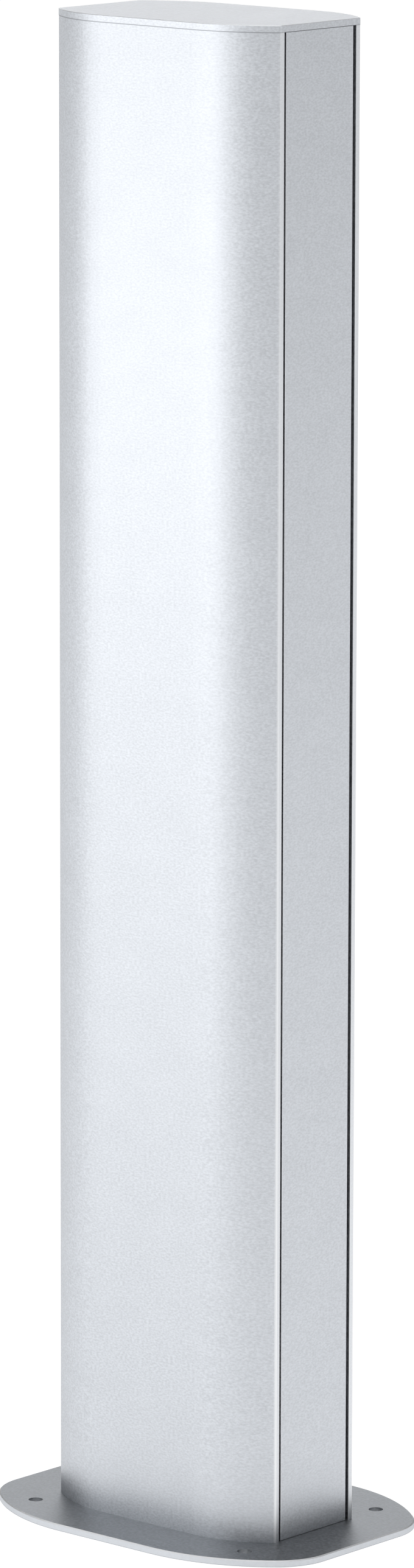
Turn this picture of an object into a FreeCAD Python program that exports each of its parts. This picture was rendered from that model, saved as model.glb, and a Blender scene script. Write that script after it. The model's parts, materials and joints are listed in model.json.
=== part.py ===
import FreeCAD, Part
import math
import os

import Sketcher

# Short floor-standing service pole.
#
# An extruded aluminium column stands on a screwed-on base plate and is closed by a flat cap.
# The column has two bowed walls and one web, which make two wiring channels, and each channel
# opens sideways through a 45 mm module opening that a snap-in lid covers over its full length.
#
# Frame: millimetres, Z up, origin at the centre of the base plate's underside.
# X runs from opening to opening, and the bowed walls face -Y and +Y.

DOC = FreeCAD.newDocument("service_pole")

# Driving dimensions, in millimetres unless a comment says otherwise.
SIZES = {
    # Overall form
    "pole_height": 675.0,  # floor to the top of the cap
    "body_width": 128.7,  # from opening face to opening face, along X
    "body_depth": 80.2,  # across the two bowed walls, along Y
    "flat_length": 54.4,  # flat middle of each bowed wall
    "edge_land": 2.45,  # column face left beside each opening
    "edge_round": 1.8,  # rounding where a bowed wall meets its land
    "land_round": 0.3,  # rounding where a land meets its opening
    "wall": 2.0,  # bowed walls
    "web": 2.5,  # wall between the two channels
    # Openings for 45 mm modules
    "device_width": 45.0,  # module that the opening takes
    "device_play": 0.1,  # between a module and a strip, each side
    "lip_thickness": 1.6,  # inward leg at each opening edge
    "lip_depth": 14.35,  # from the opening face to the lip's inner end
    # Snap strips on the lips
    "strip_web": 1.15,  # strip between the lip and the opening
    "strip_hook": 1.0,  # strip round the back of the lip
    "hook_length": 4.0,  # how far the hook reaches back along the lip
    "rib_reach": 1.0,  # latch rib into the opening
    "rib_height": 2.5,  # latch rib along the strip's depth
    # Lids
    "lid_gap": 1.6,  # shadow gap beside the lid
    "lid_recess": 0.45,  # lid face behind the opening face
    "lid_thickness": 1.8,
    "lid_end_gap": 0.2,  # lid to base plate and lid to cap
    "lid_round": 0.2,  # long edges of the lid face
    "leg_play": 0.7,  # lid leg to latch rib
    "leg_thickness": 1.2,
    "bead_reach": 0.45,  # bead at the leg's tip
    "bead_height": 2.2,
    "bead_gap": 0.3,  # bead to the back of the latch rib
    # Screw ports, open grooves that take the foot screws
    "port_outer": 8.0,
    "port_bore": 4.2,
    "port_slot": 2.2,  # mouth of the groove
    "port_gap": 3.6,  # port to the back of the strips
    "port_sink": 0.4,  # share of the wall's thickness that a port's ring sinks into it
    # Base plate
    "base_thickness": 3.0,
    "base_margin": 28.0,  # plate beyond the column all round
    "base_bevel": 0.5,
    "anchor_pitch_x": 125.0,
    "anchor_pitch_y": 90.0,
    "anchor_bore": 6.5,
    # Cable entries through the base plate and their edge frames
    "entry_inset": 6.0,  # from the web and from the strips
    "entry_clearance": 1.0,  # edge frame to screw port
    "entry_corner": 6.0,
    "frame_lining": 1.2,  # inside the entry
    "frame_rim": 2.5,  # flange that lies on the plate
    "frame_flange": 1.4,
    "frame_lift": 0.5,  # lining above the underside of the plate
    # Foot screws, countersunk from below
    "foot_cone": 45.0,  # degrees, half angle of the head
    "foot_land": 0.25,  # plate left above the countersink
    "foot_length": 16.0,
    "foot_fit": 0.05,  # screw core to port, on the radius
    "foot_sink": 0.2,  # head below the underside of the plate
    "foot_play": 0.5,  # screw to plate, on the radius
    # Cap
    "cap_thickness": 3.0,
    "cap_overhang": 0.1,
    "cap_bevel": 0.2,
    # Cap plugs, one down each channel
    "plug_play": 0.4,
    "plug_wall": 2.0,
    "plug_deck": 3.0,
    "plug_depth": 18.0,
    # Weld studs under the cap with their washers and nuts
    "stud_bore": 5.0,
    "stud_length": 12.0,
    "stud_play": 0.25,
    "washer_outer": 10.0,
    "washer_thickness": 1.0,
    "nut_flats": 8.0,
    "nut_height": 4.0,
    "nut_fit": 0.1,
    # Cable retainers behind the openings
    "retainer_count": 3.0,
    "retainer_height": 20.0,
    "retainer_thickness": 1.6,
    "retainer_gap": 0.3,  # retainer to strip
    "prong_length": 3.4,
    "prong_thickness": 1.2,
    # Earth terminal on the web
    "earth_height": 70.0,
    "earth_bore": 6.0,
    "earth_play": 0.15,
    "earth_head_flats": 10.0,
    "earth_head_height": 4.0,
    "earth_bolt_length": 16.0,
    "earth_washer_outer": 11.0,
    "earth_washer_thickness": 1.2,
    "saddle_play": 0.25,  # nut corner to saddle flange
    "saddle_height": 13.0,
    "saddle_thickness": 1.5,
    "saddle_flange": 3.0,
    "earth_nut_height": 5.0,
    # Modelling allowance
    "cut_run": 1.0,  # how far a cut runs on past a face
}

# Sizes that follow from the driving ones.
DERIVED = {
    "half_width": "Sizes.body_width / 2",
    "half_depth": "Sizes.body_depth / 2",
    "flat_half": "Sizes.flat_length / 2",
    "web_half": "Sizes.web / 2",
    # Half widths across the opening, from the module outwards
    "strip_face": "Sizes.device_width / 2 + Sizes.device_play",
    "rib_face": "strip_face - Sizes.rib_reach",
    "lip_face": "strip_face + Sizes.strip_web",
    "lip_back": "lip_face + Sizes.lip_thickness",
    "hook_back": "lip_back + Sizes.strip_hook",
    "end_half": "lip_face + Sizes.edge_land",
    # A shoulder arc leaves the flat at a tangent and ends at the opening face
    "shoulder_run": "half_width - flat_half",
    "shoulder_drop": "half_depth - end_half",
    "shoulder_radius": "(shoulder_run ^ 2 + shoulder_drop ^ 2) / (2 * shoulder_drop)",
    "shoulder_centre": "half_depth - shoulder_radius",
    # Heights
    "column_top": "Sizes.pole_height - Sizes.cap_thickness",
    "column_length": "column_top - Sizes.base_thickness",
    "lid_bottom": "Sizes.base_thickness + Sizes.lid_end_gap",
    "lid_length": "column_length - 2 * Sizes.lid_end_gap",
    "strip_length": "column_length - Sizes.lid_end_gap",
    "plug_bottom": "column_top - Sizes.plug_depth",
    # Depths along X
    "lid_face": "half_width - Sizes.lid_recess",
    "lid_seat": "lid_face - Sizes.lid_thickness",
    "bead_top": "lid_seat - Sizes.rib_height - Sizes.bead_gap",
    "leg_tip": "bead_top - Sizes.bead_height",
    "lip_end": "half_width - Sizes.lip_depth",
    "strip_back": "lip_end - Sizes.strip_hook",
    "lid_half": "lip_face - Sizes.lid_gap",
    "leg_outer": "rib_face - Sizes.leg_play",
    "leg_inner": "leg_outer - Sizes.leg_thickness",
    # Screw ports
    "port_inset": "Sizes.port_outer / 2 - Sizes.port_sink * Sizes.wall",
    "port_arc": "shoulder_radius - Sizes.wall - port_inset",
    "port_x": "strip_back - Sizes.port_outer / 2 - Sizes.port_gap",
    "port_y": "shoulder_centre + sqrt(port_arc ^ 2 - (port_x - flat_half) ^ 2)",
    # Foot screws
    "foot_core": "Sizes.port_bore / 2 - Sizes.foot_fit",
    "foot_head_depth": "Sizes.base_thickness - Sizes.foot_sink - Sizes.foot_land",
    "foot_head": "foot_core + foot_head_depth * tan(Sizes.foot_cone * 1 deg)",
    # Cable entries
    "entry_inner": "web_half + Sizes.entry_inset",
    "entry_outer": "strip_back - Sizes.entry_inset",
    "entry_half": "port_y - Sizes.port_outer / 2 - Sizes.frame_rim - Sizes.entry_clearance",
    # Cap plugs and studs
    "plug_inner": "web_half + Sizes.plug_play",
    "plug_outer": "strip_back - Sizes.plug_play",
    "stud_x": "(plug_inner + plug_outer) / 2",
    "deck_bottom": "column_top - Sizes.plug_deck",
    "washer_bottom": "deck_bottom - Sizes.washer_thickness",
    "nut_bottom": "washer_bottom - Sizes.nut_height",
    # Cable retainers
    "retainer_front": "strip_back - Sizes.retainer_gap",
    "retainer_back": "retainer_front - Sizes.retainer_thickness",
    "retainer_half": "hook_back + Sizes.retainer_gap + Sizes.prong_thickness",
    "prong_tip": "retainer_front + Sizes.prong_length",
    "retainer_pitch": "column_length / (Sizes.retainer_count + 1)",
    "retainer_first": "Sizes.base_thickness + retainer_pitch - Sizes.retainer_height / 2",
    # Earth terminal, stacked along X from the web
    "earth_hole": "Sizes.earth_bore / 2 + Sizes.earth_play",
    "saddle_seat": "web_half + Sizes.earth_washer_thickness",
    "earth_nut_seat": "saddle_seat + Sizes.saddle_thickness",
    "saddle_inner": "Sizes.earth_head_flats / (2 * cos(30 deg)) + Sizes.saddle_play",
    "saddle_outer": "saddle_inner + Sizes.saddle_thickness",
}

# A point nearer to a sketch's axis than this lies on it.
AXIS_REACH = 1e-9
# Two places on a solid that are nearer than this are the same.
SAME_PLACE = 1e-3

QUADRANTS = [(1, 1), (-1, 1), (-1, -1), (1, -1)]
SIDES = {"right": 1, "left": -1}
PORTS = [(f"{side_x} * port_x", f"{side_y} * port_y") for side_x, side_y in QUADRANTS]
STUDS = [(f"{side} * stud_x", "0") for side in SIDES.values()]
ANCHORS = [
    (f"{side_x} * anchor_pitch_x / 2", f"{side_y} * anchor_pitch_y / 2") for side_x, side_y in QUADRANTS
]


def fill_sheet(name, cells):
    """Put one alias per row on a sheet: its name in column A and its value in column B."""
    sheet = DOC.addObject("Spreadsheet::Sheet", name)
    for row, (alias, content) in enumerate(cells.items(), start=1):
        sheet.set(f"A{row}", alias)
        sheet.setAlias(f"B{row}", alias)
        text = f"={content}" if isinstance(content, str) else str(content)
        sheet.set(f"B{row}", text)
    DOC.recompute()
    return sheet


fill_sheet("Sizes", SIZES)
DERIVED_SHEET = fill_sheet("Derived", DERIVED)


def expand(text):
    """Write a size formula with the sheet that each name lives on."""
    words = []
    word = ""
    for letter in text + " ":
        if letter.isalnum() or letter == "_":
            word += letter
            continue
        if word in SIZES:
            word = f"Sizes.{word}"
        elif word in DERIVED:
            word = f"Derived.{word}"
        words.append(word + letter)
        word = ""
    return "".join(words).strip()


def value(text):
    """The present value of a size formula."""
    result = DERIVED_SHEET.evalExpression(expand(text))
    return float(getattr(result, "Value", result))


# Sketches and features, each bound to the sheets


def new_body(label):
    """A sub-part of its own, named after the piece."""
    body = DOC.addObject("PartDesign::Body", label)
    body.Label = label
    return body


def new_sketch(body, name, role="XY_Plane", offset="0"):
    """A sketch on one of the body's own planes, moved along the plane's normal by a size."""
    sketch = body.newObject("Sketcher::SketchObject", f"{body.Label}_{name}")
    plane = next(item for item in body.Origin.OriginFeatures if item.Role == role)
    sketch.AttachmentSupport = [(plane, "")]
    sketch.MapMode = "FlatFace"
    sketch.setExpression("AttachmentOffset.Base.z", expand(offset))
    return sketch


def dimension(sketch, kind, where, text):
    """A dimension bound to a size; where holds the geometry and point numbers."""
    index = sketch.addConstraint(Sketcher.Constraint(kind, *where, value(text)))
    sketch.setExpression(f"Constraints[{index}]", expand(text))


def place_point(sketch, item, point, across=None, along=None):
    """Dimension one point of an item from the sketch's origin, or hold it on an axis."""
    for text, kind, axis in ((across, "DistanceX", -2), (along, "DistanceY", -1)):
        if text is None:
            continue
        if abs(value(text)) < AXIS_REACH:
            sketch.addConstraint(Sketcher.Constraint("PointOnObject", item, point, axis))
        else:
            dimension(sketch, kind, (-1, 1, item, point), text)


def join(sketch, first, second):
    """Make two end points, each an item and a point number, one."""
    sketch.addConstraint(Sketcher.Constraint("Coincident", *first, *second))


def vector(across, along):
    return FreeCAD.Vector(value(across), value(along), 0)


def add_line(sketch, start, end):
    """A straight edge between two points given as size formulas."""
    return sketch.addGeometry(Part.LineSegment(vector(*start), vector(*end)), False)


def polygon(sketch, corners):
    """A closed outline with straight edges through corners given as size formulas."""
    following = corners[1:] + corners[:1]
    edges = [add_line(sketch, start, end) for start, end in zip(corners, following)]
    for number, (edge, corner) in enumerate(zip(edges, corners)):
        place_point(sketch, edge, 1, *corner)
        join(sketch, (edge, 2), (edges[(number + 1) % len(edges)], 1))


def rectangle(sketch, left, right, low, high):
    """A rectangle between four size formulas."""
    polygon(sketch, [(left, low), (right, low), (right, high), (left, high)])


def hexagon(sketch, across, along, flats):
    """A regular hexagon round a point, given its width across flats."""
    corners = []
    for step in range(6):
        turn = f"{60 * step} deg"
        reach = f"({flats}) / (2 * cos(30 deg))"
        corners.append((f"{across} + {reach} * cos({turn})", f"{along} + {reach} * sin({turn})"))
    polygon(sketch, corners)


def circle(sketch, across, along, radius):
    """A circle about a point given as size formulas."""
    shape = Part.Circle(vector(across, along), FreeCAD.Vector(0, 0, 1), value(radius))
    item = sketch.addGeometry(shape, False)
    place_point(sketch, item, 3, across, along)
    dimension(sketch, "Radius", (item,), radius)


def circles(sketch, places, radius):
    """One circle of the same radius at each place."""
    for across, along in places:
        circle(sketch, across, along, radius)


def arc(sketch, centre, radius, begin, finish):
    """An arc about a dimensioned centre, running counter-clockwise between two angles."""
    shape = Part.Circle(vector(*centre), FreeCAD.Vector(0, 0, 1), value(radius))
    item = sketch.addGeometry(Part.ArcOfCircle(shape, begin, finish), False)
    place_point(sketch, item, 3, *centre)
    dimension(sketch, "Radius", (item,), radius)
    return item


def shoulder(sketch, side_x, side_y, growth, stop):
    """The bow of a wall from the end of its flat out to the plane x = stop.

    Returns the item and its point numbers at the flat and at the stop.
    """
    radius = f"shoulder_radius + ({growth})"
    centre = (f"{side_x} * flat_half", f"{side_y} * shoulder_centre")
    run = value(stop) - value("flat_half")
    rise = math.sqrt(value(radius) ** 2 - run**2)
    at_flat = math.atan2(side_y, 0.0) % (2 * math.pi)
    at_stop = math.atan2(side_y * rise, side_x * run) % (2 * math.pi)
    if at_stop - at_flat > math.pi:
        at_stop -= 2 * math.pi
    flat_first = at_flat < at_stop
    item = arc(sketch, centre, radius, min(at_flat, at_stop), max(at_flat, at_stop))
    flat_point, stop_point = (1, 2) if flat_first else (2, 1)
    place_point(sketch, item, flat_point, across=f"{side_x} * flat_half")
    place_point(sketch, item, stop_point, across=f"{side_x} * ({stop})")
    return item, flat_point, stop_point


def bridge(sketch, first, second):
    """A straight edge between two end points that are already in place."""
    start = sketch.getPoint(*first)
    end = sketch.getPoint(*second)
    edge = sketch.addGeometry(Part.LineSegment(start, end), False)
    join(sketch, (edge, 1), first)
    join(sketch, (edge, 2), second)


def pole_outline(sketch, growth):
    """The pole's plan outline, grown outwards by a size: two flats, four shoulders, two ends."""
    stop = f"half_width + ({growth})"
    bows = {quadrant: shoulder(sketch, *quadrant, growth, stop) for quadrant in QUADRANTS}
    for side in (1, -1):
        right, right_flat, _ = bows[(1, side)]
        left, left_flat, _ = bows[(-1, side)]
        bridge(sketch, (right, right_flat), (left, left_flat))
        back, _, back_stop = bows[(side, 1)]
        front, _, front_stop = bows[(side, -1)]
        bridge(sketch, (back, back_stop), (front, front_stop))


def channel_outline(sketch, side, inset):
    """The plan of one channel, from the web to the back of the strips, shrunk by a size."""
    growth = f"-(wall + plug_play + ({inset}))"
    inner = f"{side} * (plug_inner + ({inset}))"
    bows = {way: shoulder(sketch, side, way, growth, f"plug_outer - ({inset})") for way in (1, -1)}
    bridge(sketch, (bows[1][0], bows[1][2]), (bows[-1][0], bows[-1][2]))
    corners = []
    for way in (1, -1):
        item, flat_point, _ = bows[way]
        start = sketch.getPoint(item, flat_point)
        end = FreeCAD.Vector(value(inner), start.y, 0)
        edge = sketch.addGeometry(Part.LineSegment(start, end), False)
        join(sketch, (edge, 1), (item, flat_point))
        sketch.addConstraint(Sketcher.Constraint("Horizontal", edge))
        place_point(sketch, edge, 2, across=inner)
        corners.append((edge, 2))
    bridge(sketch, *corners)


def rounded_rectangle(sketch, left, right, low, high, radius):
    """A rectangle with round corners between four size formulas."""
    quarter = math.pi / 2
    turns = [(right, high, 1, 1), (left, high, -1, 1), (left, low, -1, -1), (right, low, 1, -1)]
    arcs = []
    for number, (across, along, way_x, way_y) in enumerate(turns):
        centre = (f"({across}) - {way_x} * ({radius})", f"({along}) - {way_y} * ({radius})")
        item = arc(sketch, centre, radius, number * quarter, (number + 1) * quarter)
        start_is_level = number % 2 == 0
        level_point, upright_point = (1, 2) if start_is_level else (2, 1)
        place_point(sketch, item, level_point, along=centre[1])
        place_point(sketch, item, upright_point, across=centre[0])
        arcs.append(item)
    for number, item in enumerate(arcs):
        bridge(sketch, (item, 2), (arcs[(number + 1) % len(arcs)], 1))


def feature(body, kind, sketch, name, length, taper):
    """A pad or pocket that runs from its sketch along the plane's normal."""
    result = body.newObject(f"PartDesign::{kind}", f"{body.Label}_{name}")
    result.Profile = sketch
    result.Reversed = kind == "Pocket"
    result.setExpression("Length", expand(length))
    if taper is not None:
        result.setExpression("TaperAngle", expand(taper))
    DOC.recompute()
    return result


def pad(body, name, draw, height, low="0", role="XY_Plane", taper=None):
    """Add material of one height over an outline that starts at a level."""
    sketch = new_sketch(body, f"{name}_outline", role, low)
    draw(sketch)
    return feature(body, "Pad", sketch, name, height, taper)


def cut(body, name, draw, height, low="0", role="XY_Plane", taper=None):
    """Take material of one height out over an outline that starts at a level."""
    before = body.Shape.Volume
    sketch = new_sketch(body, f"{name}_outline", role, low)
    draw(sketch)
    result = feature(body, "Pocket", sketch, name, height, taper)
    if body.Shape.Volume >= before:
        raise RuntimeError(f"{result.Name} takes nothing away")
    return result


def edges_where(shape, test):
    """Names of the edges whose middle point passes a test."""
    names = []
    for number, edge in enumerate(shape.Edges, start=1):
        middle = edge.valueAt((edge.FirstParameter + edge.LastParameter) / 2)
        if test(edge, middle):
            names.append(f"Edge{number}")
    return names


def is_upright(edge):
    """True for a straight edge that runs along Z."""
    first = edge.Vertexes[0].Point
    last = edge.Vertexes[-1].Point
    return math.hypot(first.x - last.x, first.y - last.y) < SAME_PLACE < abs(first.z - last.z)


def dress(body, kind, name, test, size):
    """Fillet or chamfer the edges of the body's tip that pass a test."""
    base = body.Tip
    result = body.newObject(f"PartDesign::{kind}", f"{body.Label}_{name}")
    result.Base = (base, edges_where(base.Shape, test))
    result.setExpression("Radius" if kind == "Fillet" else "Size", expand(size))
    DOC.recompute()
    return result


def round_ends(body, name, growth, size):
    """Round the four upright corners where the grown outline's shoulders meet its ends."""
    stop = value(f"half_width + ({growth})")
    opening = value("lip_back")

    def at_corner(edge, middle):
        return is_upright(edge) and abs(abs(middle.x) - stop) < SAME_PLACE and abs(middle.y) > opening

    dress(body, "Fillet", name, at_corner, size)


def bevel_top(body, level, size):
    """Bevel every edge of the body that lies at a level."""
    height = value(level)

    def at_level(edge, middle):
        return all(abs(vertex.Point.z - height) < SAME_PLACE for vertex in edge.Vertexes)

    dress(body, "Chamfer", "rim_bevel", at_level, size)


# Column: bowed walls, web, opening lips and screw ports, one extrusion


def make_column():
    body = new_body("column_profile")
    low = "base_thickness"
    full = "column_length"
    pad(body, "walls", lambda sketch: pole_outline(sketch, "0"), full, low)
    round_ends(body, "land_rounding", "0", "edge_round")
    cut(body, "inside", lambda sketch: pole_outline(sketch, "-wall"), full, low)

    def openings(sketch):
        for side in SIDES.values():
            inner = f"{side} * (half_width - 2 * wall)"
            outer = f"{side} * (half_width + wall)"
            rectangle(sketch, inner, outer, "-lip_face", "lip_face")

    cut(body, "openings", openings, full, low)
    face = value("half_width")
    opening = value("lip_face")

    def at_opening(edge, middle):
        at_face = abs(abs(middle.x) - face) < SAME_PLACE
        return is_upright(edge) and at_face and abs(abs(middle.y) - opening) < SAME_PLACE

    dress(body, "Fillet", "opening_rounding", at_opening, "land_round")

    def web(sketch):
        reach = "half_depth - wall / 2"
        rectangle(sketch, "-web_half", "web_half", f"-({reach})", reach)

    pad(body, "web", web, full, low)

    def lips(sketch):
        for side_x, side_y in QUADRANTS:
            inner = f"{side_x} * lip_end"
            outer = f"{side_x} * (half_width - wall / 2)"
            rectangle(sketch, inner, outer, f"{side_y} * lip_face", f"{side_y} * lip_back")

    pad(body, "lips", lips, full, low)

    pad(body, "ports", lambda sketch: circles(sketch, PORTS, "port_outer / 2"), full, low)
    cut(body, "port_bores", lambda sketch: circles(sketch, PORTS, "port_bore / 2"), full, low)

    def port_mouths(sketch):
        for across, along in PORTS:
            way = "-1" if along.startswith("1") else "1"
            mouth = f"{along} + {way} * (port_outer / 2 + wall / 2)"
            rectangle(sketch, f"{across} - port_slot / 2", f"{across} + port_slot / 2", along, mouth)

    cut(body, "port_mouths", port_mouths, full, low)

    def earth_hole(sketch):
        circle(sketch, "0", "earth_height", "earth_hole")

    cut(body, "earth_hole", earth_hole, "web + 2 * cut_run", "-web_half - cut_run", "YZ_Plane")


# Base plate, its foot screws and the edge frames of its cable entries


def entry_outline(sketch, side, inset):
    """The plan of one cable entry, shrunk by a size."""
    inner = f"{side} * (entry_inner + ({inset}))"
    outer = f"{side} * (entry_outer - ({inset}))"
    left, right = (inner, outer) if side > 0 else (outer, inner)
    reach = f"(entry_half - ({inset}))"
    rounded_rectangle(sketch, left, right, f"-{reach}", reach, f"entry_corner - ({inset})")


def make_base_plate():
    body = new_body("base_plate")
    pad(body, "plate", lambda sketch: pole_outline(sketch, "base_margin"), "base_thickness")
    round_ends(body, "corners", "base_margin", "base_margin")
    bevel_top(body, "base_thickness", "base_bevel")
    through = "base_thickness + cut_run"

    def entries(sketch):
        for side in SIDES.values():
            entry_outline(sketch, side, "0")

    cut(body, "entries", entries, through)
    cut(body, "anchor_holes", lambda sketch: circles(sketch, ANCHORS, "anchor_bore / 2"), through)
    cut(body, "foot_holes", lambda sketch: circles(sketch, PORTS, "foot_core + foot_play"), through)
    sink = "foot_head_depth + foot_sink"
    rim = "foot_head + foot_sink * tan(foot_cone * 1 deg) + foot_play"
    cut(body, "foot_sinks", lambda sketch: circles(sketch, PORTS, rim), sink, taper="-foot_cone")


def make_foot_screws():
    body = new_body("foot_screws")
    low = "foot_sink"

    def heads(sketch):
        circles(sketch, PORTS, "foot_head")

    pad(body, "heads", heads, "foot_head_depth", low, taper="-foot_cone")
    pad(body, "cores", lambda sketch: circles(sketch, PORTS, "foot_core"), "foot_length", low)


def make_entry_frame(name, side):
    """The plastic frame that guards the cables from the edge of one cable entry."""
    body = new_body(f"{name}_entry_frame")
    top = "base_thickness + frame_flange - frame_lift"
    pad(body, "lining", lambda sketch: entry_outline(sketch, side, "0"), top, "frame_lift")

    def rim(sketch):
        entry_outline(sketch, side, "-frame_rim")

    def mouth(sketch):
        entry_outline(sketch, side, "frame_lining")

    pad(body, "rim", rim, "frame_flange", "base_thickness")
    cut(body, "mouth", mouth, f"{top} + cut_run")


# Cap, its weld studs, and the two plugs that hold it in the channels


def make_cap_plate():
    body = new_body("cap_plate")
    pad(body, "plate", lambda sketch: pole_outline(sketch, "cap_overhang"), "cap_thickness", "column_top")
    round_ends(body, "corners", "cap_overhang", "edge_round")
    bevel_top(body, "pole_height", "cap_bevel")


def make_cap_plug(name, side):
    """A moulded plug that fits down one channel and is clamped to the cap's studs."""
    body = new_body(f"{name}_cap_plug")
    pad(body, "block", lambda sketch: channel_outline(sketch, side, "0"), "plug_depth", "plug_bottom")
    room = "plug_depth - plug_deck"
    cut(body, "hollow", lambda sketch: channel_outline(sketch, side, "plug_wall"), room, "plug_bottom")
    ports = [place for place in PORTS if place[0].startswith(str(side))]
    notch = "port_outer / 2 + plug_play"
    cut(body, "port_notches", lambda sketch: circles(sketch, ports, notch), "plug_depth", "plug_bottom")
    studs = [place for place in STUDS if place[0].startswith(str(side))]
    bore = "stud_bore / 2 + stud_play"
    cut(body, "stud_holes", lambda sketch: circles(sketch, studs, bore), "plug_depth", "plug_bottom")


def make_ring_group(label, places, outer, bore, height, low):
    """A group of equal rings, such as washers, one at each place."""
    body = new_body(label)
    pad(body, "discs", lambda sketch: circles(sketch, places, outer), height, low)
    cut(body, "bores", lambda sketch: circles(sketch, places, bore), height, low)


def make_cap_fixings():
    studs = new_body("cap_studs")
    low = "column_top - stud_length"
    pad(studs, "studs", lambda sketch: circles(sketch, STUDS, "stud_bore / 2"), "stud_length", low)
    loose = "stud_bore / 2 + stud_play"
    make_ring_group("cap_washers", STUDS, "washer_outer / 2", loose, "washer_thickness", "washer_bottom")
    nuts = new_body("cap_nuts")

    def hexagons(sketch):
        for across, along in STUDS:
            hexagon(sketch, across, along, "nut_flats")

    pad(nuts, "blanks", hexagons, "nut_height", "nut_bottom")
    threaded = "stud_bore / 2 + nut_fit"
    cut(nuts, "bores", lambda sketch: circles(sketch, STUDS, threaded), "nut_height", "nut_bottom")


# Snap strips and lids


def make_snap_strip(label, side_x, side_y):
    """The black strip that hooks round one lip, with a rib that the lid and modules latch behind."""
    body = new_body(label)
    section = [
        ("lid_seat", "lip_face"),
        ("lid_seat", "rib_face"),
        ("lid_seat - rib_height + rib_reach", "rib_face"),
        ("lid_seat - rib_height", "strip_face"),
        ("strip_back", "strip_face"),
        ("strip_back", "hook_back"),
        ("strip_back + hook_length", "hook_back"),
        ("strip_back + hook_length", "lip_back"),
        ("lip_end", "lip_back"),
        ("lip_end", "lip_face"),
    ]
    corners = [(f"{side_x} * ({across})", f"{side_y} * ({along})") for across, along in section]
    pad(body, "section", lambda sketch: polygon(sketch, corners), "strip_length", "base_thickness")


def make_lid(name, side):
    """A lid: a flat face with two legs whose beads snap in behind the strips' ribs."""
    body = new_body(f"{name}_lid")
    half = [
        ("lid_face", "lid_half"),
        ("lid_seat", "lid_half"),
        ("lid_seat", "leg_outer"),
        ("bead_top", "leg_outer"),
        ("bead_top - bead_reach", "leg_outer + bead_reach"),
        ("leg_tip + bead_reach", "leg_outer + bead_reach"),
        ("leg_tip", "leg_outer"),
        ("leg_tip", "leg_inner"),
        ("lid_seat", "leg_inner"),
    ]
    corners = [(f"{side} * ({across})", along) for across, along in half]
    corners += [(f"{side} * ({across})", f"-({along})") for across, along in reversed(half)]
    pad(body, "section", lambda sketch: polygon(sketch, corners), "lid_length", "lid_bottom")
    face = side * value("lid_face")

    def is_long_edge(edge, middle):
        return is_upright(edge) and abs(middle.x - face) < SAME_PLACE

    dress(body, "Fillet", "edge_rounding", is_long_edge, "lid_round")


def make_cable_retainers(name, side):
    """Bars that clip on the backs of two strips and keep the cables in while the lid is off."""
    body = new_body(f"{name}_cable_retainers")
    section = [
        ("retainer_back", "retainer_half"),
        ("prong_tip", "retainer_half"),
        ("prong_tip", "retainer_half - prong_thickness"),
        ("retainer_front", "retainer_half - prong_thickness"),
        ("retainer_front", "strip_face - retainer_gap"),
        ("prong_tip", "strip_face - retainer_gap"),
        ("prong_tip", "strip_face - retainer_gap - prong_thickness"),
        ("retainer_front", "strip_face - retainer_gap - prong_thickness"),
    ]
    corners = [(f"{side} * ({across})", along) for across, along in section]
    corners += [(f"{side} * ({across})", f"-({along})") for across, along in reversed(section)]
    pad(body, "bar", lambda sketch: polygon(sketch, corners), "retainer_height", "retainer_first")
    row = body.newObject("PartDesign::LinearPattern", f"{body.Label}_row")
    row.Originals = [body.Tip]
    upright = next(item for item in body.Origin.OriginFeatures if item.Role == "Z_Axis")
    row.Direction = (upright, [""])
    row.Mode = "Spacing"
    row.setExpression("Offset", expand("retainer_pitch"))
    row.setExpression("Occurrences", expand("retainer_count"))
    body.Tip = row
    DOC.recompute()


# Earth terminal: bolt through the web, lock washer, saddle clamp and nut


def make_earth_terminal():
    plane = "YZ_Plane"
    foot = "earth_height - saddle_height / 2"
    head = "earth_height + saddle_height / 2"

    def hexagonal(sketch):
        hexagon(sketch, "0", "earth_height", "earth_head_flats")

    def disc(radius):
        return lambda sketch: circle(sketch, "0", "earth_height", radius)

    def seat(sketch):
        rectangle(sketch, "-saddle_outer", "saddle_outer", foot, head)

    def flanges(sketch):
        for way in (1, -1):
            rectangle(sketch, f"{way} * saddle_inner", f"{way} * saddle_outer", foot, head)

    bolt = new_body("earth_bolt")
    pad(bolt, "head", hexagonal, "earth_head_height", "-web_half - earth_head_height", plane)
    pad(bolt, "shank", disc("earth_bore / 2"), "earth_bolt_length", "-web_half", plane)

    washer = new_body("earth_lock_washer")
    pad(washer, "disc", disc("earth_washer_outer / 2"), "earth_washer_thickness", "web_half", plane)
    cut(washer, "bore", disc("earth_hole"), "earth_washer_thickness", "web_half", plane)

    saddle = new_body("earth_saddle")
    pad(saddle, "seat", seat, "saddle_thickness", "saddle_seat", plane)
    pad(saddle, "flanges", flanges, "saddle_thickness + saddle_flange", "saddle_seat", plane)
    cut(saddle, "bore", disc("earth_hole"), "saddle_thickness", "saddle_seat", plane)

    nut = new_body("earth_nut")
    pad(nut, "blank", hexagonal, "earth_nut_height", "earth_nut_seat", plane)
    cut(nut, "bore", disc("earth_bore / 2 + nut_fit"), "earth_nut_height", "earth_nut_seat", plane)


def make_pole():
    """Every piece of the pole, foot to cap."""
    make_base_plate()
    make_foot_screws()
    make_column()
    for name, side in SIDES.items():
        make_entry_frame(name, side)
        make_cap_plug(name, side)
        make_lid(name, side)
        make_cable_retainers(name, side)
    for side_x, side_y in QUADRANTS:
        row = "back" if side_y > 0 else "front"
        column = "right" if side_x > 0 else "left"
        make_snap_strip(f"{row}_{column}_snap_strip", side_x, side_y)
    make_cap_plate()
    make_cap_fixings()
    make_earth_terminal()


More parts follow.
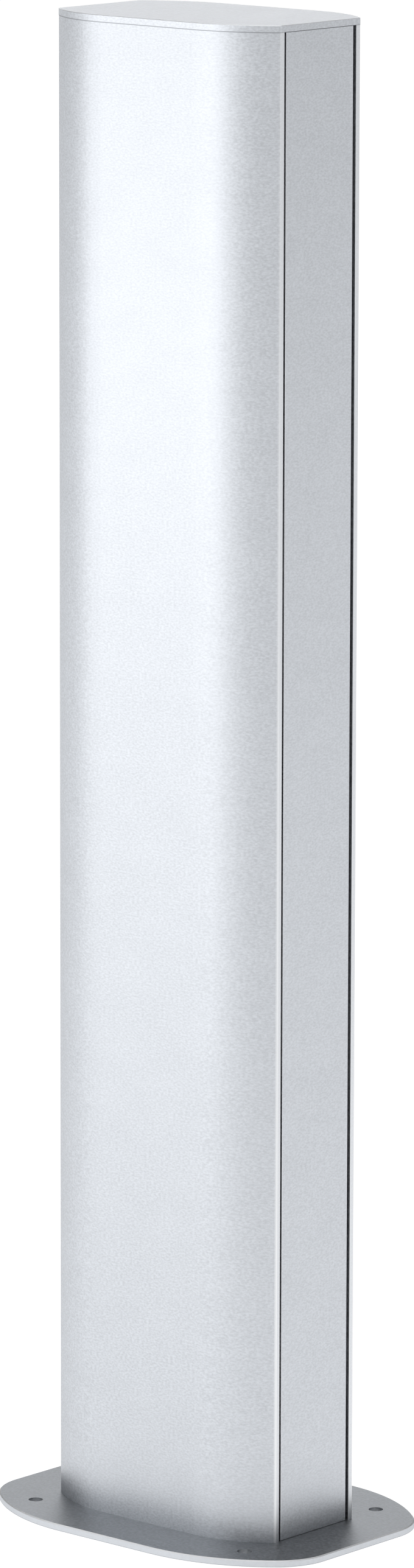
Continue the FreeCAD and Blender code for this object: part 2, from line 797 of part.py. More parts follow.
def check_pole(bodies):
    """Stop if any object failed or any piece isn't a valid solid."""
    failed = [item.Name for item in DOC.Objects if {"Invalid", "Error"} & set(item.State)]
    if failed:
        raise RuntimeError(f"failed objects: {failed}")
    for body in bodies:
        shape = body.Shape
        if shape.isNull() or not shape.isValid() or not shape.Solids:
            raise RuntimeError(f"{body.Label} has no valid solid")


def write_pieces(bodies):
    """One file per piece, named after the piece."""
    os.makedirs("parts", exist_ok=True)
    for body in bodies:
        body.Shape.exportStep(f"parts/{body.Label}.step")
        print(f"{body.Label}: {len(body.Shape.Solids)} solids, {body.Shape.Volume:.1f} mm3")


make_pole()
DOC.recompute()
BODIES = [item for item in DOC.Objects if item.TypeId == "PartDesign::Body"]
check_pole(BODIES)
write_pieces(BODIES)
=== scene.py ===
import json
import math

import bpy
from mathutils import Matrix, Vector


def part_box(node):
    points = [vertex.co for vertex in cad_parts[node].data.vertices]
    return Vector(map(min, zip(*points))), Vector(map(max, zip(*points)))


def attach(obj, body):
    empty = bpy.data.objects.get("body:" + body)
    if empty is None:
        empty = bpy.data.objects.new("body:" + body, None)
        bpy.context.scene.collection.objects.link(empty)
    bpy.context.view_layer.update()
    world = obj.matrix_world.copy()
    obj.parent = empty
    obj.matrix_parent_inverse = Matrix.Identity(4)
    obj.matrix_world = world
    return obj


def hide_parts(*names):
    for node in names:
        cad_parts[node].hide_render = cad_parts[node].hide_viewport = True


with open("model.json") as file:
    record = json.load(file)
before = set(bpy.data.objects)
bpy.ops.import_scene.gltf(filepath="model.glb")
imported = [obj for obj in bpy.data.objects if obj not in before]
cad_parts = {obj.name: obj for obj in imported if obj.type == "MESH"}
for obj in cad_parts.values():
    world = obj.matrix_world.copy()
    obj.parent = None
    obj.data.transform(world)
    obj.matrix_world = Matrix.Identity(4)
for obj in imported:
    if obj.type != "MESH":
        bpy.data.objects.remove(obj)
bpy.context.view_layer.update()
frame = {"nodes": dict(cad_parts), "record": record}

# The dressed service pole: satin anodised column, lids and cap, a darker blasted base plate, black
# strips behind the lids, and threaded fasteners. Metres, in the frame of the CAD model: Z up, the
# lids face +X and -X. Colours are linear.

MM = 0.001

# Places on the CAD model that the finishes follow
SEAM_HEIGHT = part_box("cap_plate")[0][2]
LAND_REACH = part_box("column_profile")[1][0]
LID_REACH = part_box("right_lid")[1][1]
ANCHOR_PLACE = (62.5 * MM, 45.0 * MM)

# Photograph and camera
IMAGE_HEIGHT = 2576
FOCAL_PIXELS = 12919.06
SENSOR = 36.0
CAMERA_PLACE = Vector((2.26185, -2.57141, 0.978))
CAMERA_YAW = math.radians(41.335)
CAMERA_PITCH = math.radians(10.658)
CAMERA_ROLL = math.radians(0.119)


def make_camera():
    """The photograph's camera, found by fitting the pole's edges."""
    forward = Vector(
        (
            -math.sin(CAMERA_YAW) * math.cos(CAMERA_PITCH),
            math.cos(CAMERA_YAW) * math.cos(CAMERA_PITCH),
            -math.sin(CAMERA_PITCH),
        )
    )
    level = Vector((math.cos(CAMERA_YAW), math.sin(CAMERA_YAW), 0))
    upright = level.cross(forward)
    right = math.cos(CAMERA_ROLL) * level + math.sin(CAMERA_ROLL) * upright
    up = right.cross(forward)
    data = bpy.data.cameras.new("camera")
    data.sensor_width = SENSOR
    data.lens = FOCAL_PIXELS / IMAGE_HEIGHT * SENSOR
    camera = bpy.data.objects.new("camera", data)
    turn = Matrix((right, up, -forward)).transposed()
    camera.matrix_world = Matrix.Translation(CAMERA_PLACE) @ turn.to_4x4()
    bpy.context.scene.collection.objects.link(camera)
    bpy.context.scene.camera = camera


NOISE_LOW = 0.3
NOISE_HIGH = 0.7


class Shader:
    """A material's node tree, with short calls for the nodes that the finishes share."""

    def __init__(self, name):
        self.material = bpy.data.materials.new(name)
        self.material.use_nodes = True
        self.tree = self.material.node_tree
        self.surface = self.tree.nodes["Principled BSDF"]
        self.coordinates = self.tree.nodes.new("ShaderNodeTexCoord")
        self.place = self.coordinates.outputs["Object"]

    def node(self, kind, **properties):
        """A new node with its properties set."""
        item = self.tree.nodes.new(kind)
        for key, content in properties.items():
            setattr(item, key, content)
        return item

    def link(self, source, target):
        self.tree.links.new(source, target)

    def set(self, socket, content):
        self.surface.inputs[socket].default_value = content

    def feed(self, source, socket):
        """Drive a socket of the surface."""
        self.link(source, self.surface.inputs[socket])

    def math(self, operation, first, second):
        """The result of a sum or product of two values."""
        item = self.node("ShaderNodeMath", operation=operation)
        self.link(first, item.inputs[0])
        self.link(second, item.inputs[1])
        return item.outputs["Value"]

    def total(self, first, second):
        return self.math("ADD", first, second)

    def product(self, first, second):
        return self.math("MULTIPLY", first, second)

    def vector(self, operation, source, content=None):
        """The vector node of an operation on a source and, where it takes two, a constant vector."""
        item = self.node("ShaderNodeVectorMath", operation=operation)
        self.link(source, item.inputs[0])
        if content is not None:
            item.inputs[1].default_value = content
        return item

    def folded(self):
        """The object's coordinates without their signs."""
        return self.vector("ABSOLUTE", self.place).outputs["Vector"]

    def axis(self, vector, letter):
        """One coordinate of a vector."""
        item = self.node("ShaderNodeSeparateXYZ")
        self.link(vector, item.inputs["Vector"])
        return item.outputs[letter]

    def rise(self):
        """How far the surface faces up: 1 on a level top, 0 on an upright side."""
        return self.axis(self.coordinates.outputs["Normal"], "Z")

    def height(self):
        return self.axis(self.place, "Z")

    def ramp(self, source, start, stop, low=0.0, high=1.0):
        """A value that runs from low to high as the source runs from start to stop."""
        item = self.node("ShaderNodeMapRange")
        for socket, content in (("From Min", start), ("From Max", stop), ("To Min", low), ("To Max", high)):
            item.inputs[socket].default_value = content
        self.link(source, item.inputs["Value"])
        return item.outputs["Result"]

    def fall(self, source, start, stop):
        """A value that drops from 1 to 0 as the source runs from start to stop."""
        return self.ramp(source, start, stop, 1.0, 0.0)

    def stretched(self, scale):
        """The object's coordinates scaled along X, Y and Z."""
        mapping = self.node("ShaderNodeMapping")
        mapping.inputs["Scale"].default_value = scale
        self.link(self.place, mapping.inputs["Vector"])
        return mapping.outputs["Vector"]

    def noise(self, scale, detail=2.0, roughness=0.6):
        """Noise with its scale in cycles per metre along X, Y and Z."""
        item = self.node("ShaderNodeTexNoise")
        item.inputs["Scale"].default_value = 1.0
        item.inputs["Detail"].default_value = detail
        item.inputs["Roughness"].default_value = roughness
        self.link(self.stretched(scale), item.inputs["Vector"])
        return item.outputs["Fac"]

    def spread(self, noise, low=0.0, high=1.0):
        """A value between low and high that follows a noise over its usual range."""
        return self.ramp(noise, NOISE_LOW, NOISE_HIGH, low, high)

    def blend(self, factor, first, second):
        """A colour between two, by a factor."""
        item = self.node("ShaderNodeMix", data_type="RGBA")
        item.inputs["A"].default_value = (*first, 1)
        item.inputs["B"].default_value = (*second, 1)
        self.link(factor, item.inputs["Factor"])
        return item.outputs["Result"]

    def overlay(self, factor, colour):
        """Lay a colour over the base colour, as far as the factor says."""
        base = self.surface.inputs["Base Color"]
        item = self.node("ShaderNodeMix", data_type="RGBA")
        item.inputs["B"].default_value = (*colour, 1)
        self.link(base.links[0].from_socket, item.inputs["A"])
        self.link(factor, item.inputs["Factor"])
        self.link(item.outputs["Result"], base)

    def bump(self, source, distance, strength):
        """Tilt the normal by the slope of a source, which is distance high."""
        item = self.node("ShaderNodeBump")
        item.inputs["Distance"].default_value = distance
        item.inputs["Strength"].default_value = strength
        self.link(source, item.inputs["Height"])
        self.feed(item.outputs["Normal"], "Normal")


# Aluminium finishes
SATIN_LIGHT = (0.745, 0.774, 0.817)
SATIN_DARK = (0.569, 0.591, 0.624)
SATIN_ROUGHNESS = 0.4
SATIN_GRAIN = (700, 700, 1300)
SATIN_DEPTH = 0.02 * MM
PLATE_LIGHT = (0.446, 0.466, 0.493)
PLATE_DARK = (0.3, 0.314, 0.332)
PLATE_ROUGHNESS = 0.45
PLATE_GRAIN = (760, 760, 760)
PLATE_DEPTH = 0.03 * MM
GRAIN_DETAIL = 2.0
GRAIN_ROUGHNESS = 0.5
GRAIN_SHARE = 0.88
GRAIN_STRENGTH = 0.35
SMOOTHER = 0.04  # roughness below and above a finish's own, by the grain
ROUGHER = 0.05
MOTTLE_SCALE = (45, 45, 70)
MOTTLE_DETAIL = 4.0
REFLECTION_TINT = (0.8, 0.8, 0.8, 1)
# the colour of painted shade: the band at the cap seam and the foot of the base plate
PAINTED_SHADE_COLOUR = (0.36, 0.375, 0.4)
# the colour of painted highlights: column lands and roundings, lid edges, the broken edges of cap and plate
PAINTED_HIGHLIGHT_COLOUR = (0.95, 0.965, 0.985)
# painted light: the base plate's upright rim is coloured lighter than its top
RIM_PAINTED_LIGHT_COLOUR = (0.69, 0.715, 0.75)


def aluminium(name, light, dark, rough, grain, depth):
    """Matt aluminium: fine short grain with soft broad mottling."""
    shader = Shader(name)
    fine = shader.noise(grain, GRAIN_DETAIL, GRAIN_ROUGHNESS)
    broad = shader.noise(MOTTLE_SCALE, MOTTLE_DETAIL)
    mixed = shader.total(shader.spread(fine, high=GRAIN_SHARE), shader.spread(broad, high=1 - GRAIN_SHARE))
    shader.feed(shader.blend(mixed, dark, light), "Base Color")
    shader.feed(shader.spread(fine, rough - SMOOTHER, rough + ROUGHER), "Roughness")
    shader.set("Metallic", 1.0)
    shader.set("Specular Tint", REFLECTION_TINT)
    shader.bump(fine, depth, GRAIN_STRENGTH)
    return shader


def satin_aluminium(name):
    """Satin anodised, with the grain lying round the pole and painted shade in a thin band along the seam
    under the cap.
    """
    shader = aluminium(name, SATIN_LIGHT, SATIN_DARK, SATIN_ROUGHNESS, SATIN_GRAIN, SATIN_DEPTH)
    height = shader.height()
    # painted shade: a thin dark band round the cap's lower face, where the cap meets the column and lids
    above = shader.ramp(height, SEAM_HEIGHT - 0.3 * MM, SEAM_HEIGHT - 0.2 * MM)
    below = shader.fall(height, SEAM_HEIGHT + 0.1 * MM, SEAM_HEIGHT + 0.2 * MM)
    shader.overlay(shader.product(above, below), PAINTED_SHADE_COLOUR)
    return shader


# strengths of the painted highlights on the column: the lands, and the roundings by height
LAND_PAINTED_HIGHLIGHT = 0.48
HIGHLIGHT_LOW, HIGHLIGHT_LOW_HEIGHT = 0.95, 0.1
HIGHLIGHT_HIGH, HIGHLIGHT_HIGH_HEIGHT = 0.3, 0.65


def column_aluminium():
    """The column: a painted highlight on the lands beside the openings, and a painted highlight where a
    wall rounds into a land, stronger towards the floor."""
    shader = satin_aluminium("satin_column")
    reach = shader.axis(shader.folded(), "X")
    land_edges = (LAND_REACH - 0.06 * MM, LAND_REACH - 0.01 * MM)
    land_highlight = shader.ramp(reach, *land_edges, high=LAND_PAINTED_HIGHLIGHT)
    rounding_highlight = shader.ramp(reach, LAND_REACH - 0.85 * MM, LAND_REACH - 0.15 * MM)
    rounding_highlight = shader.product(rounding_highlight, shader.fall(reach, *land_edges))
    # painted highlight on the roundings, stronger towards the floor
    highlight_by_height = shader.ramp(shader.height(), HIGHLIGHT_LOW_HEIGHT, HIGHLIGHT_HIGH_HEIGHT, HIGHLIGHT_LOW, HIGHLIGHT_HIGH)
    shader.overlay(shader.total(shader.product(rounding_highlight, highlight_by_height), land_highlight), PAINTED_HIGHLIGHT_COLOUR)
    return shader


LID_PAINTED_HIGHLIGHT = 0.5


def lid_aluminium():
    """The lids, with a thin painted highlight along both long edges."""
    shader = satin_aluminium("satin_lid")
    reach = shader.axis(shader.folded(), "Y")
    edge = shader.ramp(reach, LID_REACH - 0.3 * MM, LID_REACH - 0.1 * MM, high=LID_PAINTED_HIGHLIGHT)
    shader.overlay(edge, PAINTED_HIGHLIGHT_COLOUR)
    return shader


# Where a surface turns from upright to bevelled, and from bevelled to level, by its rise
CAP_BEVEL = (0.3, 0.5)
CAP_LEVEL = (0.85, 0.95)
PLATE_BEVEL = (0.25, 0.45)
PLATE_LEVEL = (0.75, 0.95)


def cap_aluminium():
    """The cap, with a painted highlight on the broken edge round its top."""
    shader = satin_aluminium("satin_cap")
    rise = shader.rise()
    painted_edge_highlight = shader.product(shader.ramp(rise, *CAP_BEVEL), shader.fall(rise, *CAP_LEVEL))
    shader.overlay(painted_edge_highlight, PAINTED_HIGHLIGHT_COLOUR)
    return shader


FOOT_SHADE = 0.8
FOOT_SHADE_HEIGHT = 0.4 * MM
HOLE_REACH = (4.0 * MM, 5.0 * MM)


def base_plate_aluminium():
    """The base plate: a darker blasted top, with painted light on its upright rim, a painted highlight at
    its broken upper edge and painted shade at the floor. The walls of the anchor holes stay dark."""
    shader = aluminium("blasted_plate", PLATE_LIGHT, PLATE_DARK, PLATE_ROUGHNESS, PLATE_GRAIN, PLATE_DEPTH)
    from_anchor = shader.vector("SUBTRACT", shader.folded(), (*ANCHOR_PLACE, 0)).outputs["Vector"]
    flat = shader.vector("MULTIPLY", from_anchor, (1, 1, 0)).outputs["Vector"]
    distance = shader.vector("LENGTH", flat).outputs["Value"]
    outside = shader.ramp(distance, *HOLE_REACH)
    rise = shader.rise()
    side = shader.fall(rise, *PLATE_LEVEL)
    # painted light: the upright rim is coloured lighter than the top, away from the anchor holes
    shader.overlay(shader.product(side, outside), RIM_PAINTED_LIGHT_COLOUR)
    # painted highlight on the plate's broken upper edge
    painted_edge_highlight = shader.product(shader.ramp(rise, *PLATE_BEVEL), side)
    shader.overlay(shader.product(painted_edge_highlight, outside), PAINTED_HIGHLIGHT_COLOUR)
    # painted shade along the foot, where the plate meets the floor
    shader.overlay(shader.ramp(shader.height(), 0.0, FOOT_SHADE_HEIGHT, FOOT_SHADE, 0.0), PAINTED_SHADE_COLOUR)
    return shader


# Plastics and plated metals
SKIN_SCALE = (2500, 2500, 2500)
SKIN_DEPTH = 0.02 * MM
SKIN_STRENGTH = 0.4
SKIN_SPREAD = 0.08
TONE_SCALE = (40, 40, 40)
TONE_SHADE = 0.8
PLASTIC_ROUGHNESS = 0.5
CLOUD_SCALE = (220, 220, 220)
CLOUD_DETAIL = 4.0
MARKS_SCALE = (1500, 1500, 1500)
MARKS_DEPTH = 0.01 * MM
MARKS_STRENGTH = 0.3
MARKS_SMOOTHER = 0.08
MARKS_ROUGHER = 0.1


def moulded_plastic(name, colour, shine):
    """Moulded plastic with a fine eroded skin."""
    shader = Shader(name)
    shader.set("Specular IOR Level", shine)
    skin = shader.noise(SKIN_SCALE)
    deep = tuple(TONE_SHADE * channel for channel in colour)
    shader.feed(shader.blend(shader.spread(shader.noise(TONE_SCALE)), deep, colour), "Base Color")
    roughness = shader.spread(skin, PLASTIC_ROUGHNESS - SKIN_SPREAD, PLASTIC_ROUGHNESS + SKIN_SPREAD)
    shader.feed(roughness, "Roughness")
    shader.bump(skin, SKIN_DEPTH, SKIN_STRENGTH)
    return shader


def plated_metal(name, light, dark, rough):
    """Plated steel or brass parts: cloudy plating and fine tool marks."""
    shader = Shader(name)
    marks = shader.noise(MARKS_SCALE)
    cloud = shader.noise(CLOUD_SCALE, CLOUD_DETAIL)
    shader.feed(shader.blend(shader.spread(cloud), dark, light), "Base Color")
    shader.feed(shader.spread(marks, rough - MARKS_SMOOTHER, rough + MARKS_ROUGHER), "Roughness")
    shader.set("Metallic", 1.0)
    shader.bump(marks, MARKS_DEPTH, MARKS_STRENGTH)
    return shader


FINISHES = {
    "anodised_aluminium": column_aluminium(),
    "brushed_aluminium_plate": base_plate_aluminium(),
    "black_plastic": moulded_plastic("black_moulding", (0.014, 0.014, 0.015), shine=0.4),
    "grey_plastic": moulded_plastic("grey_moulding", (0.45, 0.46, 0.47), shine=0.5),
    "zinc_steel": plated_metal("zinc_plating", (0.78, 0.79, 0.8), (0.6, 0.61, 0.62), rough=0.32),
    "brass": plated_metal("plain_brass", (0.85, 0.66, 0.33), (0.68, 0.5, 0.22), rough=0.3),
}
LID_FINISH = lid_aluminium()
# the strips behind the lids: black plastic, made blacker and duller than the other black plastic as painted
# shade in the gaps beside the lids
PAINTED_SHADE_STRIP_FINISH = moulded_plastic("black_strip_painted_shade", (0.004, 0.004, 0.0045), shine=0.08)
NODE_FINISHES = {
    "cap_plate": cap_aluminium(),
    "right_lid": LID_FINISH,
    "left_lid": LID_FINISH,
    "front_right_snap_strip": PAINTED_SHADE_STRIP_FINISH,
    "front_left_snap_strip": PAINTED_SHADE_STRIP_FINISH,
    "back_right_snap_strip": PAINTED_SHADE_STRIP_FINISH,
    "back_left_snap_strip": PAINTED_SHADE_STRIP_FINISH,
}
SLOTS = {entry["node"]: entry["material_slot"] for entry in frame["record"]["subparts"]}


def dress_nodes():
    """Give every CAD node its own finish, or that of its record slot."""
    for name, slot in SLOTS.items():
        data = frame["nodes"][name].data
        data.materials.clear()
        data.materials.append(NODE_FINISHES.get(name, FINISHES[slot]).material)


# Turned and threaded pieces, each built from rings of points round an axis
SEGMENTS = 48
SHARP = math.radians(32)
ALONG_X = Matrix.Rotation(math.pi / 2, 4, "Y")
DOWN = Matrix.Rotation(math.pi, 4, "X")
QUARTER_TURN = Matrix.Rotation(math.pi / 2, 4, "Z")
SIXTH = math.pi / 3


def hexagon(flats):
    """The reach of a regular hexagon at each angle, from its width across flats."""
    return lambda angle: flats / 2 / math.cos((angle + SIXTH / 2) % SIXTH - SIXTH / 2)


def at(content, angle):
    """A size that is a plain number or changes with the angle."""
    return content(angle) if callable(content) else content


def ring(radius, height):
    """Points round the axis; the radius and the height are numbers or functions of the angle."""
    points = []
    for step in range(SEGMENTS):
        angle = 2 * math.pi * step / SEGMENTS
        reach = at(radius, angle)
        points.append(Vector((reach * math.cos(angle), reach * math.sin(angle), at(height, angle))))
    return points


class Turning:
    """Vertices and faces of pieces made of rings, gathered for one mesh."""

    def __init__(self):
        self.points = []
        self.faces = []

    def add(self, rings, placing, closed=False):
        """Bridge the rings; the ends are filled to their centres, unless the last meets the first."""
        first = len(self.points)
        for one in rings:
            self.points += [placing @ point for point in one]
        count = len(rings)
        for row in range(count if closed else count - 1):
            low = first + row * SEGMENTS
            high = first + (row + 1) % count * SEGMENTS
            for step in range(SEGMENTS):
                after = (step + 1) % SEGMENTS
                self.faces.append((low + step, low + after, high + after, high + step))
        if closed:
            return
        for row, turn in ((0, -1), (count - 1, 1)):
            centre = sum(rings[row], Vector()) / SEGMENTS
            self.points.append(placing @ centre)
            start = first + row * SEGMENTS
            for step in range(SEGMENTS):
                pair = (start + step, start + (step + 1) % SEGMENTS)
                self.faces.append((*pair[::turn], len(self.points) - 1))

    def finish(self, name, node, body):
        """Make the piece, which stands for a CAD node and rides on its body."""
        data = bpy.data.meshes.new(name)
        data.from_pydata(self.points, [], self.faces)
        data.update()
        data.polygons.foreach_set("use_smooth", [True] * len(data.polygons))
        data.set_sharp_from_angle(angle=SHARP)
        piece = bpy.data.objects.new(name, data)
        bpy.context.scene.collection.objects.link(piece)
        data.materials.append(FINISHES[SLOTS[node]].material)
        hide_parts(node)
        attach(piece, body)


THREAD_ROWS = 8  # rings in one pitch
THREAD_FLAT = 0.18  # share of the pitch that is left as the crest
THREAD_DEPTH = 0.61  # share of the pitch


def threaded_rings(radius, pitch, start, end, lead):
    """Rings of a rod that carries a thread from start to end, with a lead chamfer at its end."""
    depth = THREAD_DEPTH * pitch
    rows = round((end - start) / pitch * THREAD_ROWS)
    rings = []
    for row in range(rows + 1):
        height = start + (end - start) * row / rows
        fade = min(1.0, (height - start) / pitch)
        limit = radius - max(0.0, lead - (end - height))

        def reach(angle):
            phase = (height / pitch - angle / (2 * math.pi)) % 1.0
            groove = max(0.0, (1 - abs(2 * phase - 1)) - THREAD_FLAT) / (1 - THREAD_FLAT)
            return min(limit, radius - depth * groove * fade)

        rings.append(ring(reach, height))
    return rings


TURNED_SHARE = 0.95  # turned face of a nut or head, as a share of its flats
TURNED_SLOPE = math.tan(math.radians(30))
NUT_SINK = 0.4  # countersink of a nut's bore, as a share of the pitch


def nut_rings(flats, height, bore, pitch):
    """A hexagon nut with turned corners on both faces and a countersunk bore."""
    corner = hexagon(flats)
    turned = TURNED_SHARE * flats / 2
    sink = NUT_SINK * pitch

    def drop(angle):
        return (corner(angle) - turned) * TURNED_SLOPE

    return [
        ring(bore, sink),
        ring(bore + sink, 0.0),
        ring(turned, 0.0),
        ring(corner, drop),
        ring(corner, lambda angle: height - drop(angle)),
        ring(turned, height),
        ring(bore + sink, height),
        ring(bore, height - sink),
    ]


WASHER_EDGE = 0.2  # broken edge, as a share of the thickness
TOOTH_DEPTH = 0.9 * MM
TOOTH_GAP = 0.55  # cosine above which a notch is cut


def washer_rings(outer, bore, thickness, teeth=0):
    """A flat washer with broken edges, or one with notches between its teeth."""
    edge = WASHER_EDGE * thickness

    def rim(angle):
        return outer - TOOTH_DEPTH * (math.cos(teeth * angle) > TOOTH_GAP) if teeth else outer

    def broken_rim(angle):
        return rim(angle) - edge

    return [
        ring(bore, edge),
        ring(bore + edge, 0.0),
        ring(broken_rim, 0.0),
        ring(rim, edge),
        ring(rim, thickness - edge),
        ring(broken_rim, thickness),
        ring(bore + edge, thickness),
        ring(bore, thickness - edge),
    ]


def centres(node, radius):
    """Where the equal round solids of a node stand, from its box and their radius."""
    low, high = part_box(node)
    return high[0] - radius, high[1] - radius, low[2], high[2]


# Foot screws
FOOT_HEAD_RADIUS = 4.6 * MM
FOOT_CORE_RADIUS = 2.05 * MM
FOOT_PITCH = 1.4 * MM
FOOT_LEAD = 0.8 * MM
FOOT_NECK = 0.6 * MM  # plain shank between the head and the thread
FOOT_RIM = 0.25 * MM  # upright edge of the head
FOOT_SOCKET = 3.0 * MM
FOOT_SOCKET_DEPTH = 1.5 * MM
FOOT_SOCKET_POINT = 0.3 * MM  # drill point under the socket
FOOT_SOCKET_POINT_SHARE = 0.2
FOOT_SOCKET_CHAMFER = 0.15 * MM

# Cap studs, washers and nuts
STUD_RADIUS = 2.5 * MM
STUD_PITCH = 0.8 * MM
STUD_LEAD = 0.5 * MM
CAP_NUT_FLATS = 8.0 * MM
CAP_WASHER_RADIUS = 5.0 * MM
CAP_WASHER_BORE = 2.75 * MM
NUT_PLAY = 0.05 * MM

# Earth terminal
EARTH_RADIUS = 3.0 * MM
EARTH_PITCH = 1.0 * MM
EARTH_LEAD = 0.6 * MM
EARTH_GRIP = 2.6 * MM  # plain shank under the head, through the web
EARTH_FLATS = 10.0 * MM
EARTH_HEAD_HEIGHT = 4.0 * MM
EARTH_DISH_DEPTH = 0.25 * MM
EARTH_DISH_FLOOR = 0.7  # shares of the turned face
EARTH_DISH_EDGE = 0.75
EARTH_WASHER_RADIUS = 5.5 * MM
EARTH_WASHER_BORE = 3.15 * MM
EARTH_TEETH = 12


def make_foot_screws():
    """Countersunk thread-forming screws with a hexagon socket, seen from under the plate."""
    across, along, low, high = centres("foot_screws", FOOT_HEAD_RADIUS)
    cone = FOOT_HEAD_RADIUS - FOOT_CORE_RADIUS
    socket = hexagon(FOOT_SOCKET)
    rings = [
        ring(FOOT_SOCKET_POINT_SHARE * FOOT_SOCKET, FOOT_SOCKET_DEPTH + FOOT_SOCKET_POINT),
        ring(socket, FOOT_SOCKET_DEPTH),
        ring(socket, FOOT_SOCKET_CHAMFER),
        ring(lambda angle: socket(angle) + FOOT_SOCKET_CHAMFER, 0.0),
        ring(FOOT_HEAD_RADIUS - FOOT_RIM, 0.0),
        ring(FOOT_HEAD_RADIUS, FOOT_RIM / 2),
        ring(FOOT_HEAD_RADIUS - FOOT_RIM / 2, FOOT_RIM),
        ring(FOOT_CORE_RADIUS, cone),
    ]
    rings += threaded_rings(FOOT_CORE_RADIUS, FOOT_PITCH, cone + FOOT_NECK, high - low, FOOT_LEAD)
    turning = Turning()
    for way_x in (1, -1):
        for way_y in (1, -1):
            turning.add(rings, Matrix.Translation((way_x * across, way_y * along, low)))
    turning.finish("foot_screws_threaded", "foot_screws", "pole")


def make_cap_fixings():
    """Threaded weld studs under the cap, with their washers and nuts."""
    across, _, low, high = centres("cap_studs", STUD_RADIUS)
    washer_low, washer_high = (corner[2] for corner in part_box("cap_washers"))
    nut_low, nut_high = (corner[2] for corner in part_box("cap_nuts"))
    rod = [ring(STUD_RADIUS, 0.0)]
    rod += threaded_rings(STUD_RADIUS, STUD_PITCH, STUD_PITCH, high - low, STUD_LEAD)
    disc = washer_rings(CAP_WASHER_RADIUS, CAP_WASHER_BORE, washer_high - washer_low)
    nut = nut_rings(CAP_NUT_FLATS, nut_high - nut_low, STUD_RADIUS + NUT_PLAY, STUD_PITCH)
    studs = Turning()
    washers = Turning()
    nuts = Turning()
    for way in (1, -1):
        studs.add(rod, Matrix.Translation((way * across, 0, high)) @ DOWN)
        washers.add(disc, Matrix.Translation((way * across, 0, washer_low)), closed=True)
        nuts.add(nut, Matrix.Translation((way * across, 0, nut_low)), closed=True)
    studs.finish("cap_studs_threaded", "cap_studs", "cap")
    washers.finish("cap_washers_turned", "cap_washers", "cap")
    nuts.finish("cap_nuts_chamfered", "cap_nuts", "cap")


def make_earth_terminal():
    """Hexagon bolt through the web, toothed washer and nut."""
    low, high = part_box("earth_bolt")
    height = (low[2] + high[2]) / 2
    corner = hexagon(EARTH_FLATS)
    turned = TURNED_SHARE * EARTH_FLATS / 2
    rings = [
        ring(EARTH_DISH_FLOOR * turned, EARTH_DISH_DEPTH),
        ring(EARTH_DISH_EDGE * turned, 0.0),
        ring(turned, 0.0),
        ring(corner, lambda angle: (corner(angle) - turned) * TURNED_SLOPE),
        ring(corner, EARTH_HEAD_HEIGHT),
        ring(EARTH_RADIUS, EARTH_HEAD_HEIGHT),
    ]
    thread_start = EARTH_HEAD_HEIGHT + EARTH_GRIP
    rings += threaded_rings(EARTH_RADIUS, EARTH_PITCH, thread_start, high[0] - low[0], EARTH_LEAD)
    bolt = Turning()
    bolt.add(rings, Matrix.Translation((low[0], 0, height)) @ ALONG_X @ QUARTER_TURN)
    bolt.finish("earth_bolt_threaded", "earth_bolt", "pole")

    low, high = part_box("earth_lock_washer")
    rings = washer_rings(EARTH_WASHER_RADIUS, EARTH_WASHER_BORE, high[0] - low[0], EARTH_TEETH)
    washer = Turning()
    washer.add(rings, Matrix.Translation((low[0], 0, height)) @ ALONG_X, closed=True)
    washer.finish("earth_lock_washer_toothed", "earth_lock_washer", "pole")

    low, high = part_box("earth_nut")
    rings = nut_rings(EARTH_FLATS, high[0] - low[0], EARTH_RADIUS + NUT_PLAY, EARTH_PITCH)
    nut = Turning()
    nut.add(rings, Matrix.Translation((low[0], 0, height)) @ ALONG_X @ QUARTER_TURN, closed=True)
    nut.finish("earth_nut_chamfered", "earth_nut", "pole")


# Studio: the surround is dim near the horizon and brighter overhead, and white for the camera.
WORLD_GLOW = 0.15
DOME_GLOW = 0.44
DOME_START = 0.3
DOME_STOP = 0.65
BACKDROP_GLOW = 1.0
WHITE = (1, 1, 1, 1)

# The floor glows so that it is white in the picture; under the base plate the glow fades out as a painted
# shadow.
FLOOR_GLOW = 0.93
FLOOR_COLOUR = (0.25, 0.25, 0.25, 1)
FLOOR_REACH = 30.0
PAINTED_SHADOW_SIZE = (88.0 * MM, 64.0 * MM)
PAINTED_SHADOW_EDGE = (0.9, 1.05)

# Lights that face the pole: name, azimuth in degrees from +X towards +Y, distance, height, size, power
LIGHTS = [
    ("left_front_low_light", 235, 0.7, 0.25, (0.7, 0.5), 0.3),
    ("left_front_light", 235, 1.5, 1.0, (1.4, 1.5), 5.7),
    ("front_light", 262, 1.6, 0.7, (0.8, 1.4), 1.42),
    ("right_light", 2, 1.5, 0.5, (0.5, 1.0), 0.5),
    ("camera_side_light", 300, 2.2, 1.3, (1.1, 1.6), 0.83),
    ("rear_light", 131, 4.5, 1.7, (3.4, 1.2), 30.0),
]
TOP_HEIGHT = 2.6
TOP_SIZE = (2.0, 2.0)
TOP_POWER = 7.8


def add_light(name, place, target, size, power):
    """A soft rectangular light that faces a point."""
    data = bpy.data.lights.new(name, "AREA")
    data.shape = "RECTANGLE"
    data.size, data.size_y = size
    data.energy = power
    light = bpy.data.objects.new(name, data)
    light.location = place
    light.rotation_euler = (Vector(target) - Vector(place)).to_track_quat("-Z", "Y").to_euler()
    bpy.context.scene.collection.objects.link(light)


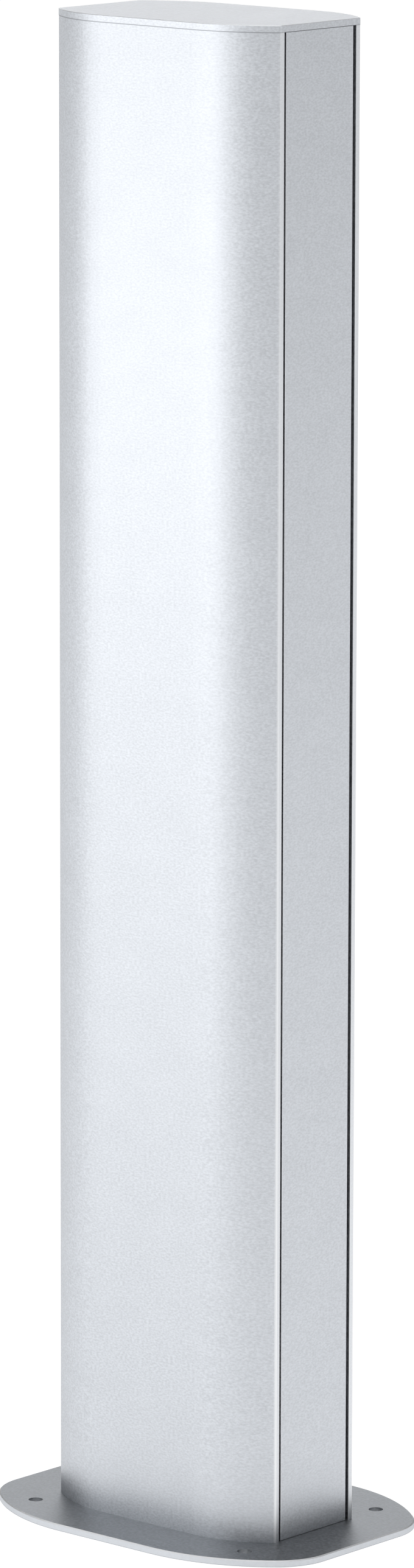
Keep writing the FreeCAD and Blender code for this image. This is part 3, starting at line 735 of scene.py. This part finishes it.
def make_surround():
    world = bpy.data.worlds.new("studio")
    world.use_nodes = True
    nodes = world.node_tree.nodes
    link = world.node_tree.links.new
    background = nodes["Background"]
    background.inputs["Color"].default_value = WHITE
    split = nodes.new("ShaderNodeSeparateXYZ")
    link(nodes.new("ShaderNodeTexCoord").outputs["Generated"], split.inputs["Vector"])
    glow = nodes.new("ShaderNodeMapRange")
    glow.inputs["From Min"].default_value = DOME_START
    glow.inputs["From Max"].default_value = DOME_STOP
    glow.inputs["To Min"].default_value = WORLD_GLOW
    glow.inputs["To Max"].default_value = DOME_GLOW
    link(split.outputs["Z"], glow.inputs["Value"])
    backdrop = nodes.new("ShaderNodeMix")
    backdrop.inputs["B"].default_value = BACKDROP_GLOW
    link(nodes.new("ShaderNodeLightPath").outputs["Is Camera Ray"], backdrop.inputs["Factor"])
    link(glow.outputs["Result"], backdrop.inputs["A"])
    link(backdrop.outputs["Result"], background.inputs["Strength"])
    bpy.context.scene.world = world


def make_floor():
    data = bpy.data.meshes.new("floor")
    corners = [(-1, -1), (1, -1), (1, 1), (-1, 1)]
    data.from_pydata([(x * FLOOR_REACH, y * FLOOR_REACH, 0) for x, y in corners], [], [(0, 1, 2, 3)])
    floor = bpy.data.objects.new("floor", data)
    bpy.context.scene.collection.objects.link(floor)
    shader = Shader("pale_floor")
    shader.set("Base Color", FLOOR_COLOUR)
    shader.set("Roughness", 1.0)
    shader.set("Specular IOR Level", 0.0)
    shader.set("Emission Color", WHITE)
    shadow_x, shadow_y = PAINTED_SHADOW_SIZE
    reach = shader.vector("LENGTH", shader.stretched((1 / shadow_x, 1 / shadow_y, 1))).outputs["Value"]
    # painted shadow: no glow in an ellipse under the base plate
    shader.feed(shader.ramp(reach, *PAINTED_SHADOW_EDGE, high=FLOOR_GLOW), "Emission Strength")
    data.materials.append(shader.material)


def make_lights():
    for name, azimuth, distance, height, size, power in LIGHTS:
        angle = math.radians(azimuth)
        place = (distance * math.cos(angle), distance * math.sin(angle), height)
        add_light(name, place, (0, 0, height), size, power)
    add_light("top_light", (0, 0, TOP_HEIGHT), (0, 0, 0), TOP_SIZE, TOP_POWER)
    bpy.context.scene.view_settings.view_transform = "Standard"


make_camera()
make_surround()
make_floor()
make_lights()
dress_nodes()
make_foot_screws()
make_cap_fixings()
make_earth_terminal()
